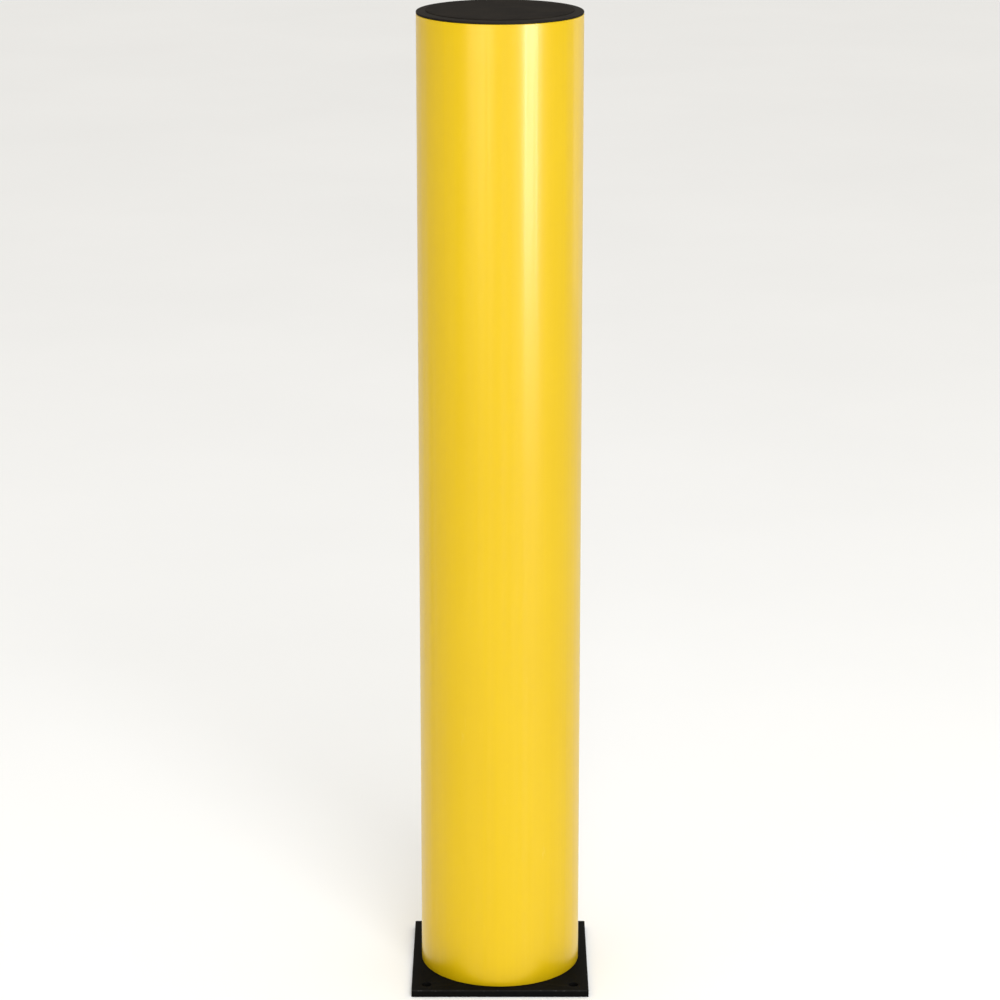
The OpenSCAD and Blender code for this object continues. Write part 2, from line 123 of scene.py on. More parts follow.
# %% A material that is built by calls
class Finish:
    """A Principled material, and the calls that add nodes to it."""

    def __init__(self, name, **constants):
        self.material = bpy.data.materials.new(name)
        self.material.use_nodes = True
        self.nodes = self.material.node_tree.nodes
        self.links = self.material.node_tree.links
        self.shader = self.nodes["Principled BSDF"]
        for socket, value in constants.items():
            self.shader.inputs[socket.replace("_", " ")].default_value = value

    def node(self, kind, settings=None, inputs=None, output=0):
        """Adds a node: its type, its settings, then values or links for its sockets."""
        made = self.nodes.new("ShaderNode" + kind)
        for name, value in (settings or {}).items():
            setattr(made, name, value)
        for name, value in (inputs or {}).items():
            self.feed(made.inputs[name], value)
        return Value(self, made.outputs[output])

    def feed(self, socket, value):
        if isinstance(value, Value):
            self.links.new(value.socket, socket)
        else:
            socket.default_value = value

    def place(self):
        """The piece's own coordinates, in metres."""
        return self.node("TexCoord", output="Object")

    def axes(self):
        """The three coordinates as separate values."""
        split = self.node("SeparateXYZ", inputs={0: self.place()})
        return [Value(self, output) for output in split.socket.node.outputs]

    def stretched(self, x, y, z):
        """Coordinates times a number for each axis: large numbers make fine detail."""
        inputs = {0: self.place(), 1: (x, y, z)}
        return self.node("VectorMath", {"operation": "MULTIPLY"}, inputs)

    def noise(self, place, detail=3.0, roughness=0.55, distortion=0.0):
        """Cloudy noise from 0 to 1, one cloud for each unit of the coordinates."""
        inputs = {"Vector": place, "Scale": 1.0, "Detail": detail, "Roughness": roughness}
        return self.node("TexNoise", None, inputs | {"Distortion": distortion})

    def cells(self, place):
        """Distance to the nearest of many scattered points."""
        return self.node("TexVoronoi", {"feature": "F1"}, {"Vector": place, "Scale": 1.0})

    def mix(self, share, first, second):
        """The first colour where share is 0, the second where it is 1."""
        settings = {"data_type": "RGBA", "clamp_factor": True}
        made = self.node("Mix", settings, {0: share})
        sockets = made.socket.node.inputs
        for socket, colour in ((sockets[6], first), (sockets[7], second)):
            self.feed(socket, colour if isinstance(colour, Value) else (*colour, 1))
        return Value(self, made.socket.node.outputs[2])

    def bump(self, height, depth, strength, under=None):
        """A surface pushed in and out by height times depth, in metres. It can lie over
        another bump."""
        inputs = {"Height": height, "Distance": depth, "Strength": strength}
        if under is not None:
            inputs["Normal"] = under
        return self.node("Bump", None, inputs)

    def wear(self, colour=None, roughness=None, metallic=None, normal=None, coat=None):
        """Feeds the shader's sockets that vary over the surface."""
        fed = {"Base Color": colour, "Roughness": roughness, "Metallic": metallic,
               "Normal": normal, "Coat Weight": coat}
        for name, value in fed.items():
            if value is not None:
                self.feed(self.shader.inputs[name], value)
        return self.material


def srgb(red, green, blue):
    """A screen's colour, 0 to 255, turned into the shader's linear values."""
    shares = [c / 255 for c in (red, green, blue)]
    return tuple(c / 12.92 if c <= 0.04045 else ((c + 0.055) / 1.055) ** 2.4 for c in shares)


# %% [markdown]
# ## The yellow plastic
#
# The tube is extruded: hot plastic is pushed through a ring-shaped die and pulled
# away. The colour goes through the whole wall. The die leaves straight lines along
# the tube, too shallow to feel but plain in a reflection, and the pull leaves slow
# waves. So the noise is stretched along Z. It drives the gloss, a very shallow bump
# and the weight of a thin clear coat, which stands for the skin that the die has
# polished, and it hardly touches the colour. Handling adds a few faint scuffs near
# the foot.

# %% Tube finish
def make_tube_yellow():
    f = Finish("extruded_yellow", IOR=1.5, Specular_IOR_Level=0.20, Coat_Roughness=0.22)
    height = f.axes()[2]
    die_lines = f.noise(f.stretched(270, 270, 0.7), detail=3, roughness=0.7).above(0.5, 0.5)
    broad_lines = f.noise(f.stretched(160, 160, 0.5), detail=2)
    slow = f.noise(f.stretched(7, 7, 2.2), detail=3)
    peel = f.noise(f.stretched(700, 700, 420), detail=2)
    scuffs = f.noise(f.stretched(60, 60, 14), detail=6, roughness=0.75).above(0.66, 0.05)
    low_down = 1 - height.above(0.30, 0.5)
    rubbed = scuffs * (low_down * 0.5 + 0.12)
    fresh = f.mix(slow.above(0.5, 0.5), srgb(224, 186, 3), srgb(228, 191, 6))
    lined = f.mix(broad_lines.above(0.5, 0.4) * 0.12, fresh, srgb(217, 178, 1))
    colour = f.mix(rubbed * 0.3, lined, srgb(240, 214, 96))
    gloss = 0.26 + die_lines * 0.08 + slow * 0.04 + rubbed * 0.2
    waves = f.bump(broad_lines, 0.00022, 0.12)
    lines = f.bump(die_lines, 0.00010, 0.05, under=waves)
    return f.wear(colour, gloss, normal=f.bump(peel, 0.00003, 0.25, under=lines),
                  coat=(1 - die_lines) * 0.38)


# %% [markdown]
# ## The black cap
#
# The cap is an injection moulding. Its flat disc is spark-textured, which makes it
# matt and hides sink marks, while the rim is smoother and shines a little more.
# Distance from the axis tells the two apart, so one material does both.

# %% Cap finish
def make_cap_black(disc_r):
    f = Finish("moulded_black", IOR=1.5, Specular_IOR_Level=0.08)
    x, y = f.axes()[:2]
    from_axis = (x * x + y * y) ** 0.5
    on_disc = 1 - from_axis.above(disc_r, 0.0006)
    spark = f.cells(f.stretched(1500, 1500, 1500))
    grain = f.noise(f.stretched(420, 420, 420), detail=4, roughness=0.7)
    dust = f.noise(f.stretched(38, 38, 38), detail=5, roughness=0.7).above(0.60, 0.22)
    flow = f.noise(f.stretched(16, 60, 16), detail=2, distortion=0.4)
    plain = f.mix(flow.above(0.5, 0.4), srgb(24, 21, 18), srgb(31, 27, 22))
    colour = f.mix(dust * 0.10, plain, srgb(84, 78, 68))
    matt = 0.62 + on_disc * 0.22 + grain * 0.14 + dust * 0.06
    texture = f.bump(spark, 0.00012, 0.5)
    return f.wear(colour, matt, normal=f.bump(grain, 0.0001, 0.3, under=texture))


# %% [markdown]
# ## Powder coat on the plate
#
# The plate is sprayed with black powder and baked. The film flows a little before
# it sets, which leaves a fine orange peel and rounds the sharp edges. Coarse and
# fine noise together give the peel, and a little dust lies on the top in patches.
# Where the coat is thin, along the edges, it has rubbed to a greyer black.

# %% Plate finish
def make_plate_black(half, top, thin_coat=0.0009, fade=0.0008):
    """Half is the plate's half width. The coat is thin this near to its upper edges."""
    f = Finish("powder_black", IOR=1.5, Specular_IOR_Level=0.03)
    x, y, z = f.axes()
    peel = f.noise(f.stretched(330, 330, 330), detail=2, roughness=0.4)
    fine = f.noise(f.stretched(1400, 1400, 1400), detail=2)
    dust = f.noise(f.stretched(26, 26, 26), detail=6, roughness=0.72).above(0.56, 0.30)
    chips = f.noise(f.stretched(210, 210, 210), detail=4, roughness=0.7).above(0.60, 0.08)
    out = x.math("ABSOLUTE").math("MAXIMUM", y.math("ABSOLUTE"))
    edge = out.above(half - thin_coat, fade) * z.above(top - thin_coat, fade)
    facing_up = z.above(top - fade / 2, fade / 2)
    plain = f.mix(peel.above(0.5, 0.5), srgb(8, 8, 7), srgb(13, 13, 12))
    dusty = f.mix(dust * facing_up * 0.03, plain, srgb(104, 100, 92))
    colour = f.mix(edge * (0.12 + chips * 0.5), dusty, srgb(84, 84, 86))
    gloss = 0.55 + peel * 0.12 + dust * facing_up * 0.14
    texture = f.bump(peel, 0.00018, 0.45)
    return f.wear(colour, gloss, normal=f.bump(fine, 0.00004, 0.3, under=texture))


# %% [markdown]
# ## Metals and plastics inside the post
#
# Nobody sees the inside until the post is opened or knocked over, but each piece
# still has the finish that its job asks for. Bright zinc keeps screws, nuts and the
# rod from rusting. Phosphated and oiled steel is the cheap finish for heavy pieces.
# Sintered bronze holds oil in its pores. Glass-filled nylon is stiff and a little
# streaky, and turned acetal shows the lathe's fine rings.

# %% Zinc plate
def make_zinc():
    f = Finish("bright_zinc", Metallic=1.0)
    drawn = f.noise(f.stretched(1560, 1560, 240), detail=3)
    patch = f.noise(f.stretched(120, 120, 120), detail=4, roughness=0.65)
    tint = f.noise(f.stretched(45, 45, 45), detail=2)
    bloom = f.noise(f.stretched(300, 300, 300), detail=5, roughness=0.75).above(0.66, 0.1)
    cool = f.mix(tint.above(0.5, 0.4), srgb(196, 202, 210), srgb(210, 206, 192))
    colour = f.mix(bloom * 0.4, cool, srgb(226, 226, 224))
    rough = 0.22 + patch * 0.16 + bloom * 0.25
    return f.wear(colour, rough, normal=f.bump(drawn, 0.00004, 0.35))


# %% Phosphated and oiled steel
def make_phosphated():
    f = Finish("phosphated_steel", Coat_Roughness=0.25)
    crystals = f.cells(f.stretched(1100, 1100, 1100))
    oil = f.noise(f.stretched(60, 60, 60), detail=3)
    turned = f.noise(f.stretched(90, 90, 1500), detail=2)
    rubbed = f.noise(f.stretched(150, 150, 150), detail=6, roughness=0.7).above(0.60, 0.1)
    plain = f.mix(crystals.above(0.45, 0.5), srgb(52, 54, 56), srgb(74, 76, 78))
    colour = f.mix(rubbed * 0.45, plain, srgb(126, 126, 124))
    height = crystals * 0.5 + turned
    return f.wear(colour, 0.38 + oil * 0.22, 0.55 + rubbed * 0.4,
                  f.bump(height, 0.00005, 0.4), coat=oil.above(0.5, 0.3) * 0.4)


# %% Sintered bronze
def make_bronze():
    f = Finish("sintered_bronze")
    pores = 1 - f.cells(f.stretched(2200, 2200, 2200)).above(0.22, 0.12)
    tone = f.noise(f.stretched(140, 140, 140), detail=4)
    bright = f.mix(tone.above(0.5, 0.5), srgb(178, 134, 78), srgb(202, 160, 98))
    colour = f.mix(pores, bright, srgb(70, 48, 26))
    return f.wear(colour, 0.30 + tone * 0.15 + pores * 0.3, 1 - pores * 0.7,
                  f.bump(1 - pores, 0.00006, 0.6))


# %% Glass-filled nylon
def make_nylon():
    f = Finish("glass_filled_nylon", IOR=1.53)
    flow = f.noise(f.stretched(60, 60, 150), detail=4, distortion=0.8)
    fibres = f.noise(f.stretched(2400, 500, 900), detail=2)
    pale = f.noise(f.stretched(500, 500, 500), detail=5, roughness=0.8).above(0.66, 0.08)
    plain = f.mix(flow.above(0.5, 0.5), srgb(42, 42, 45), srgb(54, 54, 57))
    colour = f.mix(pale * 0.35, plain, srgb(104, 104, 104))
    return f.wear(colour, 0.42 + flow * 0.16 + pale * 0.1,
                  normal=f.bump(fibres, 0.00006, 0.4))


# %% Turned acetal
RING_WAVES = 25000  # radians a metre, which is a ring every quarter of a millimetre


def make_acetal():
    f = Finish("turned_acetal", IOR=1.48, Subsurface_Weight=0.15, Subsurface_Scale=0.003)
    x, y, z = f.axes()
    along_the_cut = (x * x + y * y) ** 0.5 + z
    rings = (along_the_cut * RING_WAVES).math("SINE")
    uneven = f.noise(f.stretched(300, 300, 300), detail=3)
    grease = f.noise(f.stretched(70, 70, 70), detail=4).above(0.58, 0.2)
    colour = f.mix(grease * 0.35, srgb(232, 229, 218), srgb(196, 186, 158))
    return f.wear(colour, 0.34 + uneven * 0.14 - grease * 0.12,
                  normal=f.bump(rings * 0.5 + uneven, 0.00002, 0.4))


# %% Coated and ground spring steel
def make_spring_black():
    f = Finish("epoxy_black_spring", IOR=1.5, Coat_Roughness=0.15)
    peel = f.noise(f.stretched(500, 500, 500), detail=2)
    scaly = f.noise(f.stretched(130, 130, 130), detail=5, roughness=0.7)
    plain = f.mix(scaly.above(0.5, 0.5), srgb(24, 24, 26), srgb(34, 34, 36))
    chips = scaly.above(0.68, 0.03)
    colour = f.mix(chips, plain, srgb(118, 112, 104))
    return f.wear(colour, 0.32 + peel * 0.14, chips * 0.8,
                  f.bump(peel - chips * 0.6, 0.00012, 0.45), coat=0.4 - chips * 0.4)


def make_ground_steel():
    f = Finish("ground_steel", Metallic=1.0)
    scratches = f.noise(f.stretched(2600, 160, 300), detail=3)
    stain = f.noise(f.stretched(90, 90, 90), detail=4)
    colour = f.mix(stain.above(0.5, 0.5), srgb(168, 166, 162), srgb(190, 189, 187))
    return f.wear(colour, 0.24 + scratches * 0.2, normal=f.bump(scratches, 0.00005, 0.6))


# %% All finishes, by the record's slot
plate_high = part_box("base_plate")[1]
PLATE_HALF = plate_high.x
PLATE_TOP = plate_high.z
CAP_DISC_R = 0.080
finishes = {
    "tube_yellow": make_tube_yellow(),
    "cap_black": make_cap_black(CAP_DISC_R),
    "plate_black": make_plate_black(PLATE_HALF, PLATE_TOP),
    "zinc_steel": make_zinc(),
    "dark_steel": make_phosphated(),
    "bronze": make_bronze(),
    "nylon_dark": make_nylon(),
    "acetal_white": make_acetal(),
    "spring_black": make_spring_black(),
}
slots = {s["node"]: s["material_slot"] for s in frame["record"]["subparts"]}
for name, part in parts.items():
    part.data.materials.clear()
    part.data.materials.append(finishes[slots[name]])
print(len(finishes), "finishes on", len(parts), "CAD pieces")

# %% [markdown]
# ## Turned pieces
#
# A tube, a cap, a screw and a ring are all solids of revolution. The quickest good
# way to make one is to write its half section once and turn it round the Z axis.
# The mesh is nearly all quads, its edges can carry real rounds, and it closes on
# itself.
# A third entry on a point may be a rule that changes the radius with the angle:
# that is enough for a screw thread, a knurl and a hexagon socket.

# %% Turn a half section round the Z axis
SAME_PLACE = 1e-7  # metres: points nearer than this are one


def around(steps):
    """Angles evenly round a circle."""
    return [2 * math.pi * i / steps for i in range(steps)]


def turned(section, steps, at=(0, 0)):
    """A closed mesh from (radius, height) or (radius, height, rule) points in metres."""
    mesh = bmesh.new()
    angles = around(steps)
    rings = []
    for radius, height, *rule in section:
        if radius < SAME_PLACE:
            rings.append([mesh.verts.new((*at, height))] * steps)
            continue
        radii = [rule[0](radius, a, height) if rule else radius for a in angles]
        rings.append([mesh.verts.new((at[0] + r * math.cos(a), at[1] + r * math.sin(a), height))
                      for r, a in zip(radii, angles)])
    for low, high in zip(rings, rings[1:] + rings[:1]):
        for i in range(steps):
            corners = [low[i], low[(i + 1) % steps], high[(i + 1) % steps], high[i]]
            unique = list(dict.fromkeys(corners))
            if len(unique) > 2:
                mesh.faces.new(unique)
    bmesh.ops.recalc_face_normals(mesh, faces=mesh.faces)
    return mesh


def rounded(start, corner, end, steps=5):
    """Points of a round from start to end, inside a corner."""
    start, corner, end = Vector(start), Vector(corner), Vector(end)
    shares = [i / steps for i in range(steps + 1)]
    return [tuple((1 - t) ** 2 * start + 2 * t * (1 - t) * corner + t * t * end)
            for t in shares]


def between(start, end, steps):
    """Evenly spaced numbers from start to end."""
    return [start + (end - start) * i / steps for i in range(steps + 1)]


# %% Make a named piece that rides on a body
def linked(name, mesh):
    """An object in the scene that holds this mesh."""
    data = bpy.data.meshes.new(name)
    mesh.to_mesh(data)
    mesh.free()
    made = bpy.data.objects.new(name, data)
    bpy.context.scene.collection.objects.link(made)
    return made


def piece(name, mesh, body, slot_name, stands_for, smooth_deg=35):
    """The finished piece: it rides on a body and stands for a CAD node. Edges that turn
    by more than smooth_deg stay sharp."""
    open_edges = sum(len(e.link_faces) != 2 for e in mesh.edges)
    made = linked(name, mesh)
    made.data.shade_smooth()
    made.data.set_sharp_from_angle(angle=math.radians(smooth_deg))
    made.data.materials.append(finishes[slot_name])
    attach(made, body)
    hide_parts(stands_for)
    print(name, len(made.data.vertices), "points,", open_edges, "open edges")
    return made


def combined(body, *changes):
    """The body after Boolean changes, each an (operation, mesh) pair."""
    base = linked("work", body)
    tools = [linked("tool", mesh) for operation, mesh in changes]
    for (operation, _), tool in zip(changes, tools):
        step = base.modifiers.new(operation, "BOOLEAN")
        step.operation, step.object, step.solver = operation, tool, "EXACT"
    shown = base.evaluated_get(bpy.context.evaluated_depsgraph_get())
    result = bmesh.new()
    result.from_mesh(shown.to_mesh())
    for spent in (base, *tools):
        bpy.data.objects.remove(spent)
    bmesh.ops.remove_doubles(result, verts=result.verts, dist=SAME_PLACE)
    return result


# %% [markdown]
# ## The tube
#
# Its ends are sawn square and the sharp outer edges are broken by hand with a
# knife, so each gets a small round. At the top a counterbore leaves a ledge, where
# the spring's cup hangs. The wall is divided along its length so that the mesh has
# even faces.

# %% Build the tube
tube_low, tube_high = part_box("bollard_tube")
TUBE_R = tube_high.x
TUBE_BOTTOM, TUBE_TOP = tube_low.z, tube_high.z
TUBE_BORE_R = 0.080
COUNTERBORE_R = 0.084
LEDGE_Z = TUBE_TOP - 0.020
EDGE = 0.0006
TUBE_STEPS = 256


def tube_section(outer_rings=24, inner_rings=20):
    """Up the outside, over the mouth, down the counterbore and down the bore."""
    heights = between(TUBE_BOTTOM + EDGE, TUBE_TOP - EDGE, outer_rings)
    outside = [(TUBE_R, z) for z in heights]
    inside = [(TUBE_BORE_R, z) for z in between(LEDGE_Z, TUBE_BOTTOM, inner_rings)]
    foot = rounded((TUBE_R - EDGE, TUBE_BOTTOM), (TUBE_R, TUBE_BOTTOM), outside[0], 4)
    mouth = rounded(outside[-1], (TUBE_R, TUBE_TOP), (TUBE_R - EDGE, TUBE_TOP), 4)
    counterbore = [(COUNTERBORE_R, TUBE_TOP), (COUNTERBORE_R, LEDGE_Z)]
    return foot[:-1] + outside + mouth[1:] + counterbore + inside


tube_mesh = turned(tube_section(), TUBE_STEPS)
piece("yellow_tube", tube_mesh, "post", "tube_yellow", "bollard_tube")

# %% [markdown]
# ## The steel plate
#
# The plate is cut from 8 mm sheet and drilled. Bolt holes through a flat plate are
# easiest as loops: draw the outline and every hole as a ring of edges, fill the
# flat between them, and pull that face down through the thickness. Then a bevel
# rounds the edges, as grinding and the powder coat leave them.

# %% Build the plate
ANCHOR_AT = 0.083
ANCHOR_R = 0.0055
PLATE_CORNER = 0.001
SPIGOT_HEAD_R = 0.006
SPIGOT_SCREW_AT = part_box("spigot_screws")[1].y - SPIGOT_HEAD_R
# each row of tapped holes: how many, distance from the axis, radius, first angle
HOUSING_HOLES = (6, 0.042, 0.00405, 0.0)
SPIGOT_HOLES = (6, SPIGOT_SCREW_AT, 0.00305, 30.0)


def hole_centres():
    """Every hole of the plate, as (x, y, radius)."""
    sides = (-ANCHOR_AT, ANCHOR_AT)
    anchors = [(x, y, ANCHOR_R) for x in sides for y in sides]
    tapped = []
    for count, at, radius, start in (HOUSING_HOLES, SPIGOT_HOLES):
        for i in range(count):
            a = math.radians(start + i * 360 / count)
            tapped.append((at * math.cos(a), at * math.sin(a), radius))
    return anchors + tapped


def loop(mesh, points):
    """A closed ring of edges at the plate's top."""
    verts = [mesh.verts.new((x, y, PLATE_TOP)) for x, y in points]
    return [mesh.edges.new((a, b)) for a, b in zip(verts, verts[1:] + verts[:1])]


def plate_mesh(round_by=0.0005, hole_steps=48, sharp_deg=60):
    half, cut = PLATE_HALF, PLATE_HALF - PLATE_CORNER
    mesh = bmesh.new()
    corners = [(half, cut), (cut, half), (-cut, half), (-half, cut),
               (-half, -cut), (-cut, -half), (cut, -half), (half, -cut)]
    rims = loop(mesh, corners)
    for x, y, radius in hole_centres():
        rims += loop(mesh, [(x + radius * math.cos(a), y + radius * math.sin(a))
                            for a in around(hole_steps)])
    bmesh.ops.triangle_fill(mesh, edges=rims, use_beauty=True)
    flat = list(mesh.faces)
    pulled = bmesh.ops.extrude_face_region(mesh, geom=flat)
    moved = [v for v in pulled["geom"] if isinstance(v, bmesh.types.BMVert)]
    bmesh.ops.translate(mesh, verts=moved, vec=(0, 0, -PLATE_TOP))
    bmesh.ops.recalc_face_normals(mesh, faces=mesh.faces)
    mesh.normal_update()
    sharp = [e for e in mesh.edges if e.calc_face_angle(0) > math.radians(sharp_deg)]
    bmesh.ops.bevel(mesh, geom=sharp, offset=round_by, segments=3, profile=0.5,
                    affect="EDGES")
    return mesh


piece("steel_plate", plate_mesh(), "base", "plate_black", "base_plate")

# %% [markdown]
# ## The cap
#
# From the outside in: a thin rim lies flush with the tube, a sloping ring rises
# from it, and a crisp step leads up to the flat disc. Underneath are a skirt that
# pushes into the counterbore, stiffening ribs and a boss. The turned part and the
# ribs are made apart and joined with a Boolean, as a mould maker would cut them
# into one block of steel.

# %% Build the cap
cap_low, cap_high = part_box("top_cap")
SKIRT_BOTTOM, CAP_TOP = cap_low.z, cap_high.z
RIM_R = 0.090
SKIRT_OUT, SKIRT_IN = 0.0836, 0.0806
DISC_T = 0.003
DISC_UNDER = CAP_TOP - DISC_T
RING_LOW, RING_HIGH = TUBE_TOP + 0.0025, TUBE_TOP + 0.0032
LIP_ROUND, STEP_ROUND = 0.0009, 0.0004
SEAT_WIDTH, SHADOW_GAP = 0.0025, 0.0005


def cap_section():
    """From the middle of the underside outwards, over the rim and back along the top."""
    r, top = CAP_DISC_R, CAP_TOP
    gap = TUBE_TOP + SHADOW_GAP
    under = [(0, DISC_UNDER), (0.04, DISC_UNDER), (SKIRT_IN, DISC_UNDER)]
    skirt = [(SKIRT_IN, SKIRT_BOTTOM), (SKIRT_OUT - 0.0008, SKIRT_BOTTOM),
             (SKIRT_OUT, SKIRT_BOTTOM + 0.0016), (SKIRT_OUT, TUBE_TOP)]
    seat = [(RIM_R - SEAT_WIDTH, TUBE_TOP), (RIM_R - SEAT_WIDTH, gap),
            (RIM_R - 0.0003, gap), (RIM_R, gap + 0.0003)]
    rim = rounded((RIM_R, RING_LOW - LIP_ROUND), (RIM_R, RING_LOW),
                  (RIM_R - LIP_ROUND, RING_LOW + 0.00006), 6)
    step_foot = rounded((r + 0.0007, RING_HIGH), (r, RING_HIGH), (r, RING_HIGH + 0.0003), 3)
    step_top = rounded((r, top - STEP_ROUND), (r, top), (r - STEP_ROUND, top), 4)
    disc = [(r * share, top) for share in (0.8, 0.5, 0.2, 0)]
    return under + skirt + seat + rim + step_foot + step_top + disc


def bar(length, width, low, high, turn):
    """A flat bar across the Z axis, turned round it."""
    mesh = bmesh.new()
    bmesh.ops.create_cube(mesh, size=1)
    bmesh.ops.scale(mesh, verts=mesh.verts, vec=(length, width, high - low))
    bmesh.ops.translate(mesh, verts=mesh.verts, vec=(0, 0, (low + high) / 2))
    spin = Matrix.Rotation(turn, 3, "Z")
    bmesh.ops.rotate(mesh, verts=mesh.verts, cent=(0, 0, 0), matrix=spin)
    return mesh


def round_bar(radius, low, high, at=(0, 0), steps=48):
    """A plain round bar that stands at a place."""
    return turned([(0, low), (radius, low), (radius, high), (0, high)], steps, at)


CAP_STEPS = 240
RIBS, RIB_T, RIB_H = 4, 0.0025, 0.008
BOSS_R, BOSS_BORE_R, BOSS_H = 0.012, 0.009, 0.010
CRUSH_RIBS, CRUSH_R, CRUSH_LOW, CRUSH_PLAY = 24, 0.00095, SKIRT_BOTTOM + 0.0024, 0.00005
IN_SKIN, PAST = 0.0005, 0.001
rib_length, rib_low = 2 * (SKIRT_OUT - 0.001), DISC_UNDER - RIB_H
ribs = [("UNION", bar(rib_length, RIB_T, rib_low, DISC_UNDER + IN_SKIN, math.pi * i / RIBS))
        for i in range(RIBS)]
boss = ("UNION", round_bar(BOSS_R, DISC_UNDER - BOSS_H, DISC_UNDER + IN_SKIN))
bore = ("DIFFERENCE", round_bar(BOSS_BORE_R, DISC_UNDER - BOSS_H - PAST, DISC_UNDER))
crush_at = COUNTERBORE_R - CRUSH_PLAY - CRUSH_R
crush = []
for turn in around(CRUSH_RIBS):
    where = (crush_at * math.cos(turn), crush_at * math.sin(turn))
    crush.append(("UNION", round_bar(CRUSH_R, CRUSH_LOW, TUBE_TOP + IN_SKIN, where, 16)))
cap_mesh = combined(turned(cap_section(), CAP_STEPS), *ribs, boss, *crush, bore)
piece("moulded_cap", cap_mesh, "post", "cap_black", "top_cap")

# %% [markdown]
# ## Screw threads
#
# A thread is a groove that climbs one pitch for each turn. On a grid of points
# round the rod, the groove's depth depends only on the height and the angle
# together, so a rule on the radius draws it, with no helix to build. The depth
# fades out at each end of the cut, as a die leaves it.

# %% The thread's rule
DEPTH_PER_PITCH = 0.6


def thread(pitch, start, end, flat=1.35, flank=3.4):
    """A rule for the radius: full depth between two heights, fading over a pitch at each.
    The groove has a flat bottom where flat is above 1, and flank is its sides' slope."""
    depth = DEPTH_PER_PITCH * pitch

    def rule(radius, angle, height):
        phase = (height / pitch - angle / (2 * math.pi)) % 1
        groove = min(1, max(0, flat - abs(phase - 0.5) * flank))
        fade = min(1, max(0, min(height - start, end - height) / pitch))
        return radius - depth * groove * fade

    return rule


# %% Build the tie rod
rod_low, rod_high = (corner.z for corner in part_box("tie_rod"))
ROD_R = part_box("tie_rod")[1].x
ROD_PITCH, ROD_STEPS = 0.002, 36
PAST_NUT, UPPER_THREAD = 0.008, 0.075
lower_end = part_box("eye_lock_nut")[1].z + PAST_NUT
THREAD_ENDS = [(rod_low, lower_end), (rod_high - UPPER_THREAD, rod_high)]


def rod_section(bevel=0.0015, rings_per_pitch=8):
    points = [(0, rod_low), (ROD_R - bevel, rod_low)]
    for start, end in THREAD_ENDS:
        rings = round((end - start) / ROD_PITCH * rings_per_pitch)
        rule = thread(ROD_PITCH, start, end)
        points += [(ROD_R, z, rule) for z in between(start, end, rings)
                   if rod_low + bevel <= z <= rod_high - bevel]
    return points + [(ROD_R - bevel, rod_high), (0, rod_high)]


rod_mesh = turned(rod_section(), ROD_STEPS)
piece("threaded_rod", rod_mesh, "rod", "zinc_steel", "tie_rod", smooth_deg=60)

# %% [markdown]
# ## Socket head screws
#
# Six screws hold the swivel's housing. A socket head screw has a knurled rim for
# the fingers and a hexagon socket for the key. Both are rules on the radius: the
# knurl makes every second column of points shallower, and the socket keeps the
# distance of a hexagon's side. Six copies share one section.

# %% Rules for the head
def knurl(depth, columns):
    """A rim whose every second column of points is shallower."""
    def rule(radius, angle, height):
        column = round(angle / (2 * math.pi) * columns)
        return radius - depth * (column % 2)
    return rule


def hexagon(half_across):
    """The radius of a hexagon's side, whatever radius is asked for."""
    def rule(radius, angle, height):
        from_middle = (angle % (math.pi / 3)) - math.pi / 6
        return half_across / math.cos(from_middle)
    return rule


# %% Build the screws
HEAD_R, HEAD_H, SHANK_R = 0.0065, 0.008, 0.004
SCREW_PITCH, PLAIN_SHANK = 0.00125, 0.012
KNURL_DEPTH, KEY_HALF, KEY_DEPTH = 0.00022, 0.003, 0.004
SCREWS, COLUMNS = 6, 48
screws_low, screws_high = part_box("housing_screws")
SCREW_AT = screws_high.x - HEAD_R


def screw_section(low, top):
    """One screw, from its tip to the bottom of its socket."""
    under = top - HEAD_H
    cut = thread(SCREW_PITCH, low, under - PLAIN_SHANK)
    grip, key = knurl(KNURL_DEPTH, COLUMNS), hexagon(KEY_HALF)
    tip = [(0, low), (SHANK_R - 0.0008, low)]
    cut_heights = between(low + 0.0008, under - PLAIN_SHANK + 0.001, 60)
    shank = [(SHANK_R, z, cut) for z in cut_heights] + [(SHANK_R, under)]
    head = [(HEAD_R - 0.0003, under), (HEAD_R, under + 0.0008, grip),
            (HEAD_R, top - 0.0014, grip), (HEAD_R - 0.0002, top - 0.0010),
            (HEAD_R - 0.0009, top)]
    socket = [(KEY_HALF + 0.001, top), (KEY_HALF, top - 0.0004, key),
              (KEY_HALF, top - KEY_DEPTH, key), (0, top - KEY_DEPTH - 0.0012)]
    return tip + shank + head + socket


def gathered(meshes):
    """One mesh that holds them all."""
    whole = bmesh.new()
    for mesh in meshes:
        data = bpy.data.meshes.new("copy")
        mesh.to_mesh(data)
        mesh.free()
        whole.from_mesh(data)
        bpy.data.meshes.remove(data)
    return whole


places = [(SCREW_AT * math.cos(a), SCREW_AT * math.sin(a)) for a in around(SCREWS)]
section = screw_section(screws_low.z, screws_high.z)
screw_mesh = gathered(turned(section, COLUMNS, place) for place in places)
piece("socket_screws", screw_mesh, "base", "zinc_steel", "housing_screws", smooth_deg=40)

# %% [markdown]
# ## The spring
#
# The spring is cold coiled from 12 mm wire, coated black, and ground flat at both
# ends so that it stands square on its seats. The wire follows a helix whose end
# turns lie almost flat. It shortens when the post tilts, towards its lower end, and
# by a hair more than the rod travels, because the upper seat then leans half a
# degree. The ground faces are bright steel.

# %% Build the spring
WIRE_R, TURNS = 0.006, 8.3
spring_low, spring_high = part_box("compression_spring")
COIL_R = spring_high.x - WIRE_R
SPRING_L = spring_high.z - spring_low.z
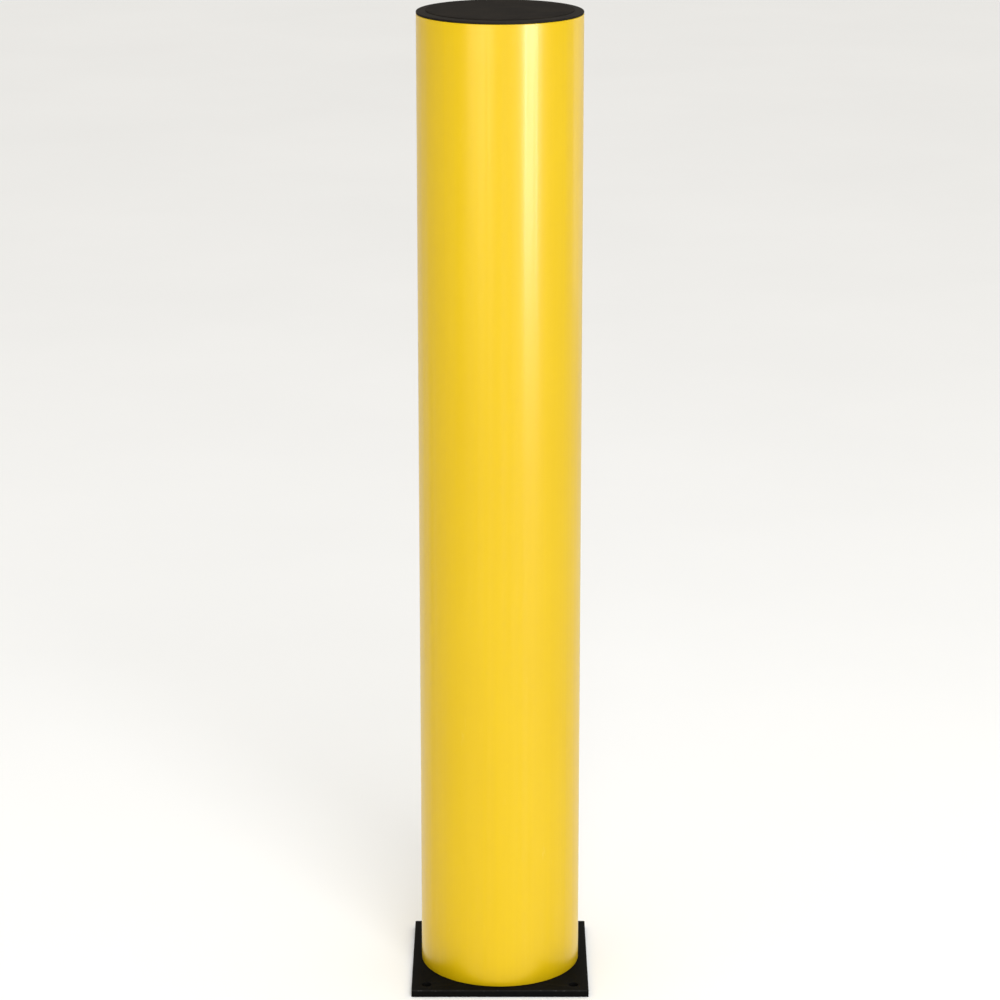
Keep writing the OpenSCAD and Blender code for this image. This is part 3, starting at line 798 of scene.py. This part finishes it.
# height of the wire's middle at its tip, before grinding, and its rise in an end turn
TIP_LIFT, CLOSED_RISE = 0.003, 0.01248


def wire_height(t):
    """Height of the wire's middle after t turns: an end turn almost flat, even between."""
    start = TIP_LIFT + CLOSED_RISE
    if t < 1:
        return TIP_LIFT + CLOSED_RISE * t
    if t > TURNS - 1:
        return SPRING_L - TIP_LIFT - CLOSED_RISE * (TURNS - t)
    return start + (t - 1) * (SPRING_L - 2 * start) / (TURNS - 2)


def spring_mesh(sides=20, per_turn=48):
    mesh = bmesh.new()
    rings = []
    for t in between(0, TURNS, math.ceil(TURNS * per_turn)):
        ring, turn = [], 2 * math.pi * t
        for a in around(sides):
            r = COIL_R + WIRE_R * math.cos(a)
            z = min(SPRING_L, max(0, wire_height(t) + WIRE_R * math.sin(a)))
            place = (r * math.cos(turn), r * math.sin(turn), spring_low.z + z)
            ring.append(mesh.verts.new(place))
        rings.append(ring)
    for low, high in zip(rings, rings[1:]):
        for k in range(sides):
            after = (k + 1) % sides
            mesh.faces.new((low[k], low[after], high[after], high[k]))
    mesh.faces.new(rings[0])
    mesh.faces.new(rings[-1])
    bmesh.ops.recalc_face_normals(mesh, faces=mesh.faces)
    return mesh


spring = piece("coil_spring", spring_mesh(), "post", "spring_black", "compression_spring")
spring.data.materials.append(make_ground_steel())
for face in spring.data.polygons:
    heights = [spring.data.vertices[v].co.z for v in face.vertices]
    face.material_index = int(max(heights) - min(heights) < SAME_PLACE)
ground = sum(face.material_index for face in spring.data.polygons)
print(ground, "ground faces")
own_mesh(spring)

# %% [markdown]
# ## The upper spring seat
#
# A turned steel plate passes the spring's push to the rod, and a short boss under
# it keeps the spring central. When the post tilts, the rod leans half a degree and
# moves a little more than a millimetre to one side in the spring, so the boss is
# tapered to leave room for this. Every sharp edge is broken, as on a lathe.

# %% Build the upper seat
seat_low, seat_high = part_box("upper_spring_seat")
SEAT_FACE = spring_high.z
SEAT_R, SEAT_STEPS = seat_high.x, 128
ROD_PLAY, SPRING_PLAY, TAPER = 0.0002, 0.0015, 0.0012
SEAT_HOLE_R = ROD_R + ROD_PLAY
BOSS_ROOT_R = COIL_R - WIRE_R - SPRING_PLAY
BOSS_TIP_R = BOSS_ROOT_R - TAPER


def seat_section(small=0.0006, large=0.001, root=0.0005):
    """Small and large are the bevels of its edges, and root is the fillet of the boss."""
    low, top = seat_low.z, seat_high.z
    boss = [(SEAT_HOLE_R + small, low), (BOSS_TIP_R - large, low), (BOSS_TIP_R, low + large),
            (BOSS_ROOT_R, SEAT_FACE - root), (BOSS_ROOT_R + root, SEAT_FACE)]
    rim = [(SEAT_R - small, SEAT_FACE), (SEAT_R, SEAT_FACE + small),
           (SEAT_R, top - large), (SEAT_R - large, top)]
    hole = [(SEAT_HOLE_R + small, top), (SEAT_HOLE_R, top - small),
            (SEAT_HOLE_R, low + small)]
    return boss + rim + hole


seat_mesh = turned(seat_section(), SEAT_STEPS)
piece("upper_seat", seat_mesh, "rod", "zinc_steel", "upper_spring_seat")

# %% [markdown]
# ## The floor and the light
#
# The post stands on a plain pale floor, under a pale world that is dimmer in front
# of it. A studio lights such a post with a narrow, bright soft box beside the
# camera and a broad, weak one on the other side. On a glossy tube each makes an
# upright streak, which fades towards the foot, because there the tube mirrors the
# floor and not the boxes. A third box behind the post draws a pale line along the
# tube's right edge. These three are only mirrored. The even light comes from a fill
# box that isn't mirrored, so streaks and shading can be set apart, and from a high
# box, which casts the soft shadow and does both.

# %% Floor
def make_floor():
    f = Finish("pale_floor", IOR=1.45)
    cloud = f.noise(f.stretched(1.3, 1.3, 1.3), detail=4)
    speck = f.noise(f.stretched(160, 160, 160), detail=2)
    colour = f.mix(cloud.above(0.5, 0.6), srgb(246, 249, 252), srgb(249, 252, 255))
    return f.wear(colour, 0.62 + speck * 0.08)


FLOOR_R = 30
floor_mesh = bmesh.new()
bmesh.ops.create_circle(floor_mesh, cap_ends=True, segments=96, radius=FLOOR_R)
floor = linked("floor", floor_mesh)
floor.data.materials.append(make_floor())
print("floor", 2 * FLOOR_R, "m across")

# %% The world
WARM_WHITE, WHITE = (1.0, 0.96, 0.90, 1), (1.0, 1.0, 1.0, 1)


def make_world(front, back, zenith, seen):
    """A slightly warm world, dimmer in front of the post than behind and above it.
    The camera sees it as one even white."""
    world = bpy.data.worlds.new("studio")
    bpy.context.scene.world = world
    world.use_nodes = True
    nodes, links = world.node_tree.nodes, world.node_tree.links
    light = nodes["Background"]
    light.inputs["Color"].default_value = WARM_WHITE
    backdrop = nodes.new("ShaderNodeBackground")
    backdrop.inputs["Color"].default_value = WHITE
    backdrop.inputs["Strength"].default_value = seen
    split = nodes.new("ShaderNodeSeparateXYZ")
    links.new(nodes.new("ShaderNodeTexCoord").outputs["Generated"], split.inputs[0])
    total = nodes.new("ShaderNodeMath")
    # along each axis: from and to which part of the way, and the strength at both
    ramps = {"Y": (-0.4, 0.8, front, back), "Z": (0.25, 1.0, 0.0, zenith)}
    for (axis, ramp), into in zip(ramps.items(), total.inputs):
        ranged = nodes.new("ShaderNodeMapRange")
        ranged.interpolation_type = "SMOOTHSTEP"
        for name, value in zip(("From Min", "From Max", "To Min", "To Max"), ramp):
            ranged.inputs[name].default_value = value
        links.new(split.outputs[axis], ranged.inputs["Value"])
        links.new(ranged.outputs[0], into)
    links.new(total.outputs[0], light.inputs["Strength"])
    choice = nodes.new("ShaderNodeMixShader")
    links.new(nodes.new("ShaderNodeLightPath").outputs["Is Camera Ray"], choice.inputs[0])
    links.new(light.outputs[0], choice.inputs[1])
    links.new(backdrop.outputs[0], choice.inputs[2])
    links.new(choice.outputs[0], nodes["World Output"].inputs["Surface"])


make_world(front=0.20, back=0.45, zenith=1.0, seen=1.0)

# %% The soft boxes
AIM = Vector((0, 0, 0.6))


def soft_box(name, azimuth, distance, low, high, width, brightness, lights=True, mirrored=True):
    """A rectangular lamp that faces the post. Azimuth 0 is at the camera, 90 to its right,
    and low and high are heights. Its brightness is given, because that is what a glossy
    tube mirrors. A box can do one job alone: light the pieces evenly, or be mirrored in
    them as a streak."""
    lamp = bpy.data.lights.new(name, "AREA")
    lamp.shape = "RECTANGLE"
    lamp.size, lamp.size_y = width, high - low
    lamp.energy = brightness * math.pi * width * (high - low)
    a = math.radians(azimuth)
    made = bpy.data.objects.new(name, lamp)
    made.location = (distance * math.sin(a), -distance * math.cos(a), (low + high) / 2)
    made.rotation_euler = (AIM - made.location).to_track_quat("-Z", "Y").to_euler()
    made.visible_diffuse, made.visible_glossy = lights, mirrored
    made.visible_camera = False
    bpy.context.scene.collection.objects.link(made)
    print(name, round(lamp.energy), "W")


soft_box("strip_box", 42, 2.1, 0.35, 1.85, 0.66, 26, lights=False)
soft_box("wide_box", -25, 2.4, 0.45, 2.05, 1.5, 4.4, lights=False)
soft_box("rim_box", 130, 2.4, 0.2, 2.0, 1.0, 0.7, lights=False)
soft_box("fill_box", 10, 2.6, 0.2, 1.7, 1.4, 1.35, mirrored=False)
soft_box("high_box", 14, 3.2, 2.5, 4.0, 2.0, 8.3)

# %% [markdown]
# ## The camera
#
# The camera stands in front of the post, half a metre above its top, and looks
# down at it. A long lens from a few metres away keeps the tube's sides nearly
# parallel. The colours go to the screen as they are, with the Standard transform.

# %% Camera
CAMERA_AT = (0, -3.646, 1.601)
LOOKS_DOWN_DEG, LENS_MM, SENSOR_MM = 16.01, 122.85, 36
camera_data = bpy.data.cameras.new("camera")
camera_data.sensor_width = SENSOR_MM
camera_data.lens = LENS_MM
camera = bpy.data.objects.new("camera", camera_data)
camera.location = CAMERA_AT
camera.rotation_euler = (math.radians(90 - LOOKS_DOWN_DEG), 0, 0)
bpy.context.scene.collection.objects.link(camera)
bpy.context.scene.camera = camera
bpy.context.scene.view_settings.view_transform = "Standard"
print("camera", round(Vector(CAMERA_AT).length, 2), "m from the post's foot")
